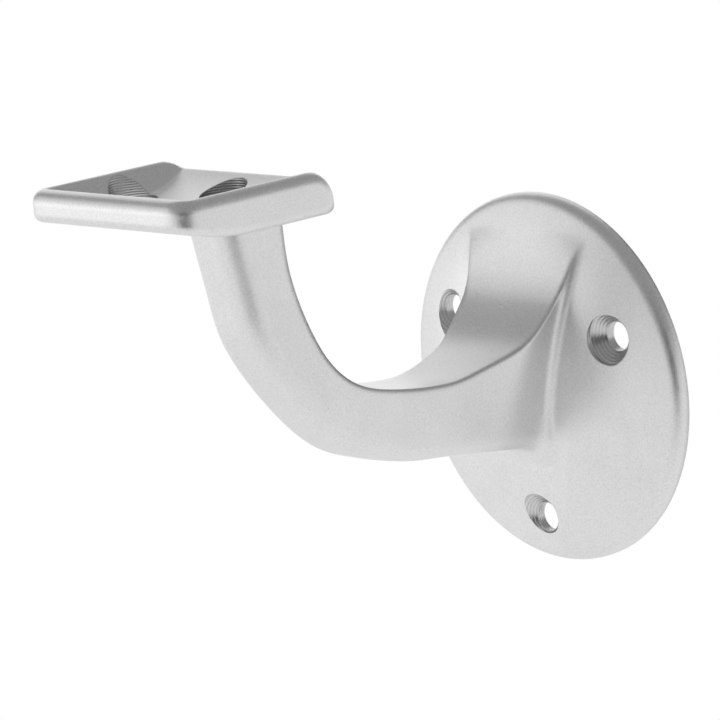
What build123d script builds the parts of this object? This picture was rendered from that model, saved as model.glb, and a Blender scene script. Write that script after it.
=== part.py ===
from build123d import *

import os
from math import dist, radians, sqrt, tan

# A handrail bracket cast in one piece: a domed wall rosette, an arm that grows
# out of it as a fan and turns upwards, and a dished saddle for the handrail.
#
# Frame: y = 0 is the wall and the bracket stands out towards -y, x runs along
# the handrail, z is up. The origin is the centre of the three wall screws, on
# the wall. All sizes are in millimetres.

os.makedirs("parts", exist_ok=True)

# Rosette
plate_diameter = 70.0
plate_rise = 1.4  # disc centre above the centre of the wall screws
dome_height = 9.27  # from the wall to the top of the dome
edge_height = 2.28662  # from the wall to where the dome would end, before its rounding
rim_round = 2.2
relief_depth = 2.3  # shallow pocket in the back, so that only the rim seats
rim_seat = 4.5  # width of the flat ring that lies on the wall
wall_screw_circle = 50.0
wall_screw_count = 3
wall_screw_start = 27.4  # degrees from the x axis: drilled a little turned
wall_screw_bore = 5.5
wall_screw_mouth = 9.9  # diameter of the countersink cutter, straight above its cone
countersink_foot = 3.96  # from the wall to where the cone leaves the bore
countersink_angle = 90.0
countersink_lead = 3.0  # how far the cutter runs past the dome and the relief

# Arm: stations across it, from the wall to the saddle. Each gives y and z of the
# inner point of its middle line, then of the outer one (z above the disc centre),
# the half widths at both, the radius of the two outer corners and the rise of
# the inner side between its two ridges. The first two lie inside the rosette,
# and the next three spread the foot out over the dome.
arm_stations = [
    (-2.9, 29.4, -4.6, -18.5, 14.6, 10.6, 6.0, 3.0),
    (-3.95, 27.4, -6.6, -17.2, 14.2, 10.0, 5.8, 3.4),
    (-4.8, 25.8, -7.9, -15.2, 13.9, 8.6, 5.4, 2.9),
    (-5.6, 24.3, -8.7, -13.4, 13.65, 7.2, 4.8, 2.0),
    (-6.4, 22.6, -9.5, -12.2, 13.3, 6.2, 4.3, 1.2),
    (-7.3, 20.6, -10.8, -11.5, 12.9, 5.6, 4.0, 0.6),
    (-9.2, 17.3, -12.9, -10.95, 12.3, 5.45, 4.0, 0.25),
    (-12.0, 14.1, -16.0, -10.4, 11.9, 5.6, 4.0, 0.1),
    (-15.5, 11.0, -19.6, -9.8, 11.15, 5.8, 4.0, 0.05),
    (-19.1, 9.05, -23.4, -9.2, 9.85, 5.9, 4.0, 0.05),
    (-24.1, 7.6, -27.8, -8.6, 8.6, 6.1, 4.0, 0.05),
    (-30.5, 6.3, -33.0, -7.9, 7.75, 6.3, 4.0, 0.05),
    (-39.5, 6.7, -42.2, -6.6, 6.9, 6.4, 4.0, 0.05),
    (-51.5, 9.5, -56.2, -1.7, 6.5, 6.4, 4.0, 0.05),
    (-58.2, 14.4, -66.1, 7.7, 6.4, 6.4, 4.0, 0.05),
    (-63.1, 22.9, -74.5, 20.6, 6.4, 6.4, 4.0, 0.05),
    (-66.2, 33.4, -77.4, 32.6, 6.4, 6.4, 4.0, 0.05),
    (-66.8, 46.5, -79.9, 46.5, 6.4, 6.4, 4.0, 0.05),
]
section_step = 4.0  # between the sections that the arm's skin follows
foot_round = 1.6  # radius between the arm and the dome

# Saddle
saddle_length = 43.6  # along the handrail
saddle_front = -101.0
saddle_back = -66.2
saddle_top = 52.6  # the rims at the front and at both ends, above the disc centre
saddle_thickness = 7.9
front_thickness = 5.1
front_rise_start = -84.0  # where the underside starts to curve up
back_round = 5.5  # the top rolls down to the back, where a hand passes
plan_corner = 4.5
rim_round_outer = 2.3
underside_round = 1.6
trough_radius = 30.0
trough_middle = -81.6
trough_wall = 3.0  # of metal under the trough's lowest line
end_wall_foot = 15.4  # half length of the trough at its lowest line
end_wall_slope = 48.0  # degrees
crease_round = 1.5  # between the trough and its end walls
lip_round = 0.8  # round the mouth of the trough
contact = 0.01  # what counts as touching, when edges are picked
rail_screw_spacing = 30.0
rail_screw_bore = 8.4
rail_screw_line = -82.0
arm_bore = 8.6
arm_bore_line = -73.8
arm_bore_depth = 4.5  # below the lowest line of the trough

plate_radius = plate_diameter / 2
dome_sag = dome_height - edge_height
dome_radius = (plate_radius**2 + dome_sag**2) / (2 * dome_sag)
top_level = saddle_top + plate_rise
under_level = top_level - saddle_thickness
trough_level = under_level + trough_wall


def dome_face(radius):
    """Distance of the dome from the wall at a radius from its middle."""
    return dome_height - dome_radius + sqrt(dome_radius**2 - radius**2)


# The hollow of the saddle: a trough along the handrail between two sloping ends
end_wall_run = 1 / tan(radians(end_wall_slope))
pocket_low = trough_level - trough_wall
pocket_high = top_level + trough_wall
half_low = end_wall_foot - trough_wall * end_wall_run
half_high = end_wall_foot + (pocket_high - trough_level) * end_wall_run

with BuildPart() as pocket:
    with BuildSketch(Plane.YZ):
        with Locations((trough_middle, trough_level + trough_radius)):
            Circle(trough_radius)
    extrude(amount=saddle_length, both=True)
    with BuildSketch(Plane.XZ):
        with BuildLine():
            Polyline(
                (-half_low, pocket_low),
                (half_low, pocket_low),
                (half_high, pocket_high),
                (-half_high, pocket_high),
                close=True,
            )
        make_face()
    extrude(amount=2 * abs(saddle_front), mode=Mode.INTERSECT)
    fillet(pocket.edges().filter_by(GeomType.ELLIPSE), crease_round)


def on_lip(edge):
    """True for an edge round the mouth of the trough."""
    point = edge @ 0.5
    return point.Z > (trough_level + top_level) / 2 and pocket.part.distance_to(point) < contact


with BuildPart() as saddle:
    with BuildSketch(Plane.YZ) as side:
        with BuildLine():
            under = Line((saddle_back, under_level), (front_rise_start, under_level))
            rise = TangentArc(under @ 1, (saddle_front, top_level - front_thickness), tangent=under % 1)
            Polyline(rise @ 1, (saddle_front, top_level), (saddle_back, top_level), under @ 0)
        make_face()
        back_corner = side.vertices().group_by(Axis.Y)[-1].sort_by(Axis.X)[-1]
        fillet(back_corner, back_round)
    extrude(amount=saddle_length / 2, both=True)
    front_corners = saddle.edges().filter_by(Axis.Z).group_by(Axis.Y)[0]
    fillet(front_corners, plan_corner)
    fillet(saddle.faces().sort_by(Axis.Z)[-1].edges(), rim_round_outer)
    fillet(saddle.faces().sort_by(Axis.Z)[0].edges(), underside_round)
    add(pocket.part, mode=Mode.SUBTRACT)
    fillet(saddle.edges().filter_by(on_lip), lip_round)

with BuildPart() as rosette:
    with BuildSketch(Plane.XY.offset(plate_rise)) as half:
        with BuildLine():
            Polyline(
                (0, -dome_height),
                (0, -relief_depth),
                (plate_radius - rim_seat, -relief_depth),
                (plate_radius - rim_seat, 0),
                (plate_radius, 0),
                (plate_radius, -dome_face(plate_radius)),
            )
            RadiusArc((plate_radius, -dome_face(plate_radius)), (0, -dome_height), dome_radius)
        make_face()
        outer_corner = half.vertices().group_by(Axis.X)[-1].sort_by(Axis.Y)[0]
        fillet(outer_corner, rim_round)
    revolve(axis=Axis((0, 0, plate_rise), (0, 1, 0)))


def middle(station):
    """Middle of the arm at a station, as (y, z)."""
    inner_y, inner_z, outer_y, outer_z = station[:4]
    return (inner_y + outer_y) / 2, (inner_z + outer_z) / 2


# Distance of each station along the arm
reach = [0.0]
for here, ahead in zip(arm_stations, arm_stations[1:]):
    reach.append(reach[-1] + dist(middle(here), middle(ahead)))


def slope(column, index):
    """Rate at which one of the stations' values changes along the arm."""
    low, high = max(index - 1, 0), min(index + 1, len(column) - 1)
    return (column[high] - column[low]) / (reach[high] - reach[low])


def glide(column, index, gone):
    """Value between a station and the next, on a cubic that keeps to their slopes."""
    start, stop = column[index], column[index + 1]
    length = reach[index + 1] - reach[index]
    bend = (1 - gone) * slope(column, index) - gone * slope(column, index + 1)
    return start + gone**2 * (3 - 2 * gone) * (stop - start) + length * gone * (1 - gone) * bend


def arm_sections():
    """The stations, with as many between them as the section step asks for."""
    columns = list(zip(*arm_stations))
    for index in range(len(arm_stations) - 1):
        steps = max(1, round((reach[index + 1] - reach[index]) / section_step))
        for step in range(steps):
            yield [glide(column, index, step / steps) for column in columns]
    yield arm_stations[-1]


with BuildPart() as arm:
    for inner_y, inner_z, outer_y, outer_z, inner_half, outer_half, corner, crown in arm_sections():
        foot = Vector(0, outer_y, outer_z + plate_rise)
        rise = Vector(0, inner_y - outer_y, inner_z - outer_z)
        depth = rise.length
        with BuildSketch(Plane(foot, x_dir=(1, 0, 0), z_dir=Vector(1, 0, 0).cross(rise))) as section:
            with BuildLine():
                Polyline((-inner_half, depth), (-outer_half, 0), (outer_half, 0), (inner_half, depth))
                ThreePointArc((inner_half, depth), (0, depth + crown), (-inner_half, depth))
            make_face()
            fillet(section.vertices().group_by(Axis.Y)[0], corner)
    loft()


# The space that one countersunk wall screw takes, along z from the wall outwards
bore = wall_screw_bore / 2
mouth = wall_screw_mouth / 2
cone_depth = (mouth - bore) / tan(radians(countersink_angle / 2))
cutter_top = dome_height + countersink_lead

with BuildPart() as countersink:
    with BuildSketch(Plane.XZ):
        with BuildLine():
            Polyline(
                (0, -countersink_lead),
                (bore, -countersink_lead),
                (bore, countersink_foot),
                (mouth, countersink_foot + cone_depth),
                (mouth, cutter_top),
                (0, cutter_top),
                close=True,
            )
        make_face()
    revolve(axis=Axis.Z)

wall_face = Plane(origin=(0, 0, 0), x_dir=(1, 0, 0), z_dir=(0, -1, 0))

with BuildPart() as bracket:
    add(rosette.part)
    add(arm.part)
    seams = bracket.edges().filter_by(GeomType.BSPLINE).filter_by_position(Axis.Y, -dome_height, 0)
    fillet(seams.sort_by(Axis.Z)[0], foot_round)
    add(saddle.part)
    with Locations(wall_face):
        with PolarLocations(wall_screw_circle / 2, wall_screw_count, start_angle=wall_screw_start):
            add(countersink.part, mode=Mode.SUBTRACT)
    with Locations((0, rail_screw_line, top_level)):
        with GridLocations(rail_screw_spacing, 0, 2, 1):
            Hole(rail_screw_bore / 2, depth=2 * saddle_thickness)
    with Locations((0, arm_bore_line, top_level)):
        Hole(arm_bore / 2, depth=top_level - trough_level + arm_bore_depth)

bracket.part.label = "bracket"
export_step(bracket.part, "parts/bracket.step")
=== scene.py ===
from math import cos, pi, radians, sin

import bpy
from mathutils import Matrix, Vector

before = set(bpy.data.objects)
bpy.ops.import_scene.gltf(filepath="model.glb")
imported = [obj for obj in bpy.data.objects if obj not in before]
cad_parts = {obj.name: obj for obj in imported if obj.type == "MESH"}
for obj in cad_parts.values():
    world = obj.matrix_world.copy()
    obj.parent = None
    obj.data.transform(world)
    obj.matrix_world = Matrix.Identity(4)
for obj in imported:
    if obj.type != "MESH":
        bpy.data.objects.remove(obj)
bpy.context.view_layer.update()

# Camera: the photograph's angle round the bracket, solved from the rosette
CAMERA_AZIMUTH = radians(49.75)
CAMERA_ELEVATION = radians(11.28)
CAMERA_ROLL = radians(-6.06)
CAMERA_DISTANCE = 0.7973
CAMERA_AIM = Vector((-0.02416, -0.02647, 0.00803))
CAMERA_LENS = 213.3
SENSOR = 36.0
CAMERA_REACH = 20.0

FLOOR_LEVEL = -0.16
FLOOR_SIZE = 6.0
FLOOR_SHADE = 0.8
BACKDROP_RADIUS = 2.8
BACKDROP_TOP = 0.42
BACKDROP_SIDES = 64
ROOM = 0.32
LAMP_DISTANCE = 1.3
# Each: degrees round the bracket from the camera, counterclockwise from above, degrees up,
# length of a side and watts
LAMPS = (
    ("key", 270, 6, 1.6, 5.2),
    ("back", 180, 22, 1.2, 3.4),
    ("side", 90, 14, 1.2, 0.3),
)
# A dark flag in front of the bracket, which only its light and reflections see
FLAG_DISTANCE = 0.62
FLAG_HALF_WIDTH = 0.30
FLAG_TOP = 0.16
FLAG_WEAVE = 900.0
FLAG_SHADES = (0.02, 0.03)

# Holes, as in the part: three in the rosette, then two and the socket in the saddle
WALL_CIRCLE = 0.025
WALL_START = 27.4
WALL_TURNS = [radians(WALL_START + turn) for turn in (0, 120, 240)]
WALL_HOLES = [(WALL_CIRCLE * cos(turn), 0.0, WALL_CIRCLE * sin(turn)) for turn in WALL_TURNS]
WALL_HOLE_REACH = 0.00499
WALL_HOLE_MOUTH = -0.010
WALL_BORE_REACH = 0.00278
WALL_CONE_FOOT = -0.00118  # y where the cone would start from its axis, for a hair's width more
WALL_HOLE_EDGE = 0.0065
RAIL_HOLES = [(-0.015, -0.082, 0.0), (0.015, -0.082, 0.0), (0.0, -0.0738, 0.0)]
RAIL_HOLE_REACH = 0.00433
RAIL_HOLE_FLOOR = 0.044

# Cast skin
NOISE_SPAN = (0.3, 0.7)  # between which nearly all of a noise's values lie
METALLIC = 0.88
GRAIN_SCALE = 2900.0
GRAIN_SHADES = (0.73, 0.87)
GRAIN_ROUGHNESS = (0.37, 0.47)
GRAIN_HEIGHT = 1.1
CLOUD_SCALE = 120.0
CLOUD_SHADES = (-0.012, 0.012)
SPECK_SCALE = 2600.0
SPECK_SPAN = (0.77, 0.83)  # where a speck of the noise turns into a pit
PIT_SHADE = 0.16
PIT_HEIGHT = -0.5
BUMP_STRENGTH = 0.3
BUMP_DISTANCE = 0.00004

# Turning marks in the holes
RING_RATE = 14000.0
RING_HEIGHT = 2.5
RING_UNEVEN = (0.2, 1.0)
STREAK_UNEVEN = (0.4, 1.0)
STREAK_SHADES = (0.38, 0.10)
HOLE_ROUGHNESS = -0.08

# Radius by which the shading softens edges
BEVEL_SAMPLES = 8
HOLE_SOFTNESS = 0.0001
EDGE_SOFTNESS = 0.0005
ARM_SOFTNESS = 0.0018
ARM_END = 0.0455  # z at which it meets the saddle


def camera():
    """Looks along the photograph's axis, with its roll, at the point the axis passes."""
    az, el = CAMERA_AZIMUTH, CAMERA_ELEVATION
    back = Vector((sin(az) * cos(el), -cos(az) * cos(el), sin(el)))
    level = Vector((cos(az), sin(az), 0.0))
    above = back.cross(level)
    right = cos(CAMERA_ROLL) * level + sin(CAMERA_ROLL) * above
    up = back.cross(right)
    data = bpy.data.cameras.new("camera")
    data.lens = CAMERA_LENS
    data.sensor_width = SENSOR
    data.clip_end = CAMERA_REACH
    obj = bpy.data.objects.new("camera", data)
    turn = Matrix((right, up, back)).transposed().to_4x4()
    obj.matrix_world = Matrix.Translation(CAMERA_AIM + back * CAMERA_DISTANCE) @ turn
    bpy.context.scene.collection.objects.link(obj)
    bpy.context.scene.camera = obj


class Tree:
    """Short calls for the nodes of one material."""

    def __init__(self, name):
        self.material = bpy.data.materials.new(name)
        self.material.use_nodes = True
        self.nodes = self.material.node_tree.nodes
        self.links = self.material.node_tree.links
        self.nodes.clear()

    def add(self, kind, **settings):
        """A node: settings whose name is a socket's fill it, the others are its own."""
        node = self.nodes.new(kind)
        for name, value in settings.items():
            if name.startswith("_"):
                setattr(node, name[1:], value)
            else:
                self.fill(node.inputs[name.replace("_", " ")], value)
        return node

    def fill(self, socket, value):
        if isinstance(value, bpy.types.NodeSocket):
            self.links.new(value, socket)
        else:
            socket.default_value = value

    def math(self, operation, *values):
        node = self.nodes.new("ShaderNodeMath")
        node.operation = operation
        for socket, value in zip(node.inputs, values):
            self.fill(socket, value)
        return node.outputs[0]

    def times(self, *values):
        return self.math("MULTIPLY", *values)

    def rest(self, share):
        """What a share leaves of one."""
        return self.math("SUBTRACT", 1.0, share)

    def noise(self, place, scale, detail=2.0):
        return self.add("ShaderNodeTexNoise", Vector=place, Scale=scale, Detail=detail).outputs["Fac"]

    def ramp(self, value, span, to):
        """The value's span, moved to another span and held at its ends."""
        node = self.add("ShaderNodeMapRange", Value=value)
        for name, number in zip(("From Min", "From Max", "To Min", "To Max"), (*span, *to)):
            self.fill(node.inputs[name], number)
        return node.outputs["Result"]

    def surface(self, shader):
        """The material, with this shader as its surface."""
        out = self.add("ShaderNodeOutputMaterial")
        self.links.new(shader.outputs[0], out.inputs["Surface"])
        return self.material


def from_axis(tree, place, centre, flat):
    """Distance from a hole's axis; flat turns the axis's own direction to nought."""
    spot = tree.add("ShaderNodeVectorMath", _operation="MULTIPLY")
    tree.fill(spot.inputs[0], place)
    tree.fill(spot.inputs[1], flat)
    away = tree.add("ShaderNodeVectorMath", _operation="DISTANCE")
    tree.fill(away.inputs[0], spot.outputs[0])
    tree.fill(away.inputs[1], centre)
    return away.outputs["Value"]


def nearest(tree, place, centres, flat):
    """Distance from the nearest of three holes' axes."""
    first, second, third = [from_axis(tree, place, centre, flat) for centre in centres]
    return tree.math("MINIMUM", tree.math("MINIMUM", first, second), third)


def machined(tree, place, axes):
    """Masks that are one in the rosette's holes, in the saddle's, and close to the rosette's."""
    near_wall = nearest(tree, place, WALL_HOLES, (1.0, 0.0, 1.0))
    near_rail = nearest(tree, place, RAIL_HOLES, (1.0, 1.0, 0.0))

    cone = tree.math("SUBTRACT", WALL_CONE_FOOT, axes["Y"])
    reach = tree.math("MINIMUM", tree.math("MAXIMUM", cone, WALL_BORE_REACH), WALL_HOLE_REACH)
    behind_mouth = tree.math("GREATER_THAN", axes["Y"], WALL_HOLE_MOUTH)
    in_wall = tree.times(tree.math("LESS_THAN", near_wall, reach), behind_mouth)
    above_floor = tree.math("GREATER_THAN", axes["Z"], RAIL_HOLE_FLOOR)
    in_rail = tree.times(tree.math("LESS_THAN", near_rail, RAIL_HOLE_REACH), above_floor)
    return in_wall, in_rail, tree.math("LESS_THAN", near_wall, WALL_HOLE_EDGE)


def aluminium():
    """Blasted and matte anodised cast aluminium: fine grain, tiny dark pits, turned holes."""
    tree = Tree("cast_aluminium")
    place = tree.add("ShaderNodeTexCoord").outputs["Object"]
    axes = tree.add("ShaderNodeSeparateXYZ", Vector=place).outputs
    in_wall, in_rail, by_wall_hole = machined(tree, place, axes)
    turned = tree.math("MAXIMUM", in_wall, in_rail)

    grain = tree.noise(place, GRAIN_SCALE)
    cloud = tree.noise(place, CLOUD_SCALE)
    pits = tree.ramp(tree.noise(place, SPECK_SCALE, 0.0), SPECK_SPAN, (0.0, 1.0))

    # Turning marks run round each hole's own axis
    along = tree.math("ADD", tree.times(axes["Y"], in_wall), tree.times(axes["Z"], in_rail))
    rings = tree.math("SINE", tree.times(along, RING_RATE))
    streaks = tree.times(rings, tree.ramp(cloud, NOISE_SPAN, STREAK_UNEVEN))
    streaks = tree.ramp(streaks, (-1.0, 1.0), STREAK_SHADES)

    shade = tree.ramp(grain, NOISE_SPAN, GRAIN_SHADES)
    shade = tree.math("ADD", shade, tree.ramp(cloud, NOISE_SPAN, CLOUD_SHADES))
    shade = tree.times(shade, tree.rest(tree.times(pits, PIT_SHADE)))
    shade = tree.times(shade, tree.rest(tree.times(turned, streaks)))
    rough = tree.ramp(grain, NOISE_SPAN, GRAIN_ROUGHNESS)
    rough = tree.math("ADD", rough, tree.times(turned, HOLE_ROUGHNESS))

    skin = tree.math("ADD", tree.times(grain, GRAIN_HEIGHT), tree.times(pits, PIT_HEIGHT))
    uneven = tree.times(tree.ramp(cloud, NOISE_SPAN, RING_UNEVEN), RING_HEIGHT)
    marks = tree.times(tree.times(rings, turned), uneven)
    height = tree.math("ADD", tree.times(skin, tree.rest(turned)), marks)

    # The shading of the arm and the rosette is softer at edges than the saddle's and the holes'
    on_arm = tree.times(tree.math("LESS_THAN", axes["Z"], ARM_END), tree.rest(by_wall_hole))
    radius = tree.ramp(on_arm, (0.0, 1.0), (EDGE_SOFTNESS, ARM_SOFTNESS))
    radius = tree.math("MAXIMUM", tree.times(radius, tree.rest(turned)), HOLE_SOFTNESS)
    soft = tree.add("ShaderNodeBevel", _samples=BEVEL_SAMPLES, Radius=radius)
    bump = tree.add(
        "ShaderNodeBump",
        Strength=BUMP_STRENGTH,
        Distance=BUMP_DISTANCE,
        Height=height,
        Normal=soft.outputs["Normal"],
    )
    shader = tree.add(
        "ShaderNodeBsdfPrincipled",
        Base_Color=shade,
        Metallic=METALLIC,
        Roughness=rough,
        Normal=bump.outputs["Normal"],
    )
    return tree.surface(shader)


def seen_rays(tree):
    """One for the rays that carry the picture: the camera's, mirrored and refracted ones."""
    ray = tree.nodes.new("ShaderNodeLightPath")
    first = tree.math("MAXIMUM", ray.outputs["Is Camera Ray"], ray.outputs["Is Glossy Ray"])
    return tree.math("MAXIMUM", first, ray.outputs["Is Transmission Ray"])


def white_ground():
    """Pale to the bracket's light, plain white to the camera and to reflections."""
    tree = Tree("white_ground")
    diffuse = tree.add("ShaderNodeBsdfDiffuse", Color=(FLOOR_SHADE, FLOOR_SHADE, FLOOR_SHADE, 1.0))
    glow = tree.add("ShaderNodeEmission")
    mix = tree.nodes.new("ShaderNodeMixShader")
    tree.links.new(seen_rays(tree), mix.inputs[0])
    tree.links.new(diffuse.outputs[0], mix.inputs[1])
    tree.links.new(glow.outputs[0], mix.inputs[2])
    return tree.surface(mix)


def stage_piece(name, corners, faces, material):
    """A part of the studio, which isn't part of the bracket."""
    data = bpy.data.meshes.new(name)
    data.from_pydata(corners, [], faces)
    data.materials.append(material)
    obj = bpy.data.objects.new(name, data)
    bpy.context.scene.collection.objects.link(obj)
    return obj


def floor():
    """A pale floor, and a low pale backdrop round it that closes it off from every side."""
    white = white_ground()
    half = FLOOR_SIZE / 2
    square = ((-half, -half), (half, -half), (half, half), (-half, half))
    corners = [(x, y, FLOOR_LEVEL) for x, y in square]
    stage_piece("floor", corners, [(0, 1, 2, 3)], white)

    turns = [2 * pi * side / BACKDROP_SIDES for side in range(BACKDROP_SIDES)]
    ring = [(BACKDROP_RADIUS * cos(turn), BACKDROP_RADIUS * sin(turn)) for turn in turns]
    corners = [(x, y, level) for level in (FLOOR_LEVEL, BACKDROP_TOP) for x, y in ring]
    faces = []
    for side in range(BACKDROP_SIDES):
        ahead = (side + 1) % BACKDROP_SIDES
        faces.append((side, ahead, BACKDROP_SIDES + ahead, BACKDROP_SIDES + side))
    stage_piece("backdrop", corners, faces, white)


def flag():
    """The dark side of the studio, where the camera stands."""
    tree = Tree("flag_cloth")
    weave = tree.noise(tree.add("ShaderNodeTexCoord").outputs["Object"], FLAG_WEAVE)
    cloth = tree.add("ShaderNodeBsdfDiffuse", Color=tree.ramp(weave, NOISE_SPAN, FLAG_SHADES))
    level = Vector((cos(CAMERA_AZIMUTH), sin(CAMERA_AZIMUTH), 0.0)) * FLAG_HALF_WIDTH
    middle = CAMERA_AIM + Vector((sin(CAMERA_AZIMUTH), -cos(CAMERA_AZIMUTH), 0.0)) * FLAG_DISTANCE
    low, high = middle.copy(), middle.copy()
    low.z, high.z = FLOOR_LEVEL, FLAG_TOP
    corners = [low - level, low + level, high + level, high - level]
    stage_piece("flag", corners, [(0, 1, 2, 3)], tree.surface(cloth)).visible_camera = False


def soft_light(name, turn, height, size, watts):
    """A square lamp that faces the bracket, turned round it from the camera."""
    data = bpy.data.lights.new(name, "AREA")
    data.shape = "SQUARE"
    data.size = size
    data.energy = watts
    obj = bpy.data.objects.new(name, data)
    azimuth, rise = CAMERA_AZIMUTH + radians(turn), radians(height)
    away = Vector((sin(azimuth) * cos(rise), -cos(azimuth) * cos(rise), sin(rise)))
    obj.location = CAMERA_AIM + away * LAMP_DISTANCE
    obj.rotation_euler = away.to_track_quat("Z", "Y").to_euler()
    obj.visible_camera = False
    bpy.context.scene.collection.objects.link(obj)


def studio():
    world = bpy.data.worlds.new("studio")
    bpy.context.scene.world = world
    world.use_nodes = True
    background = world.node_tree.nodes["Background"]
    background.inputs["Color"].default_value = (ROOM, ROOM, ROOM, 1.0)
    for lamp in LAMPS:
        soft_light(*lamp)


def finish_nodes():
    metal = aluminium()
    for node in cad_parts.values():
        node.data.materials.clear()
        node.data.materials.append(metal)


camera()
floor()
flag()
studio()
finish_nodes()

bpy.context.scene.view_settings.view_transform = "Standard"
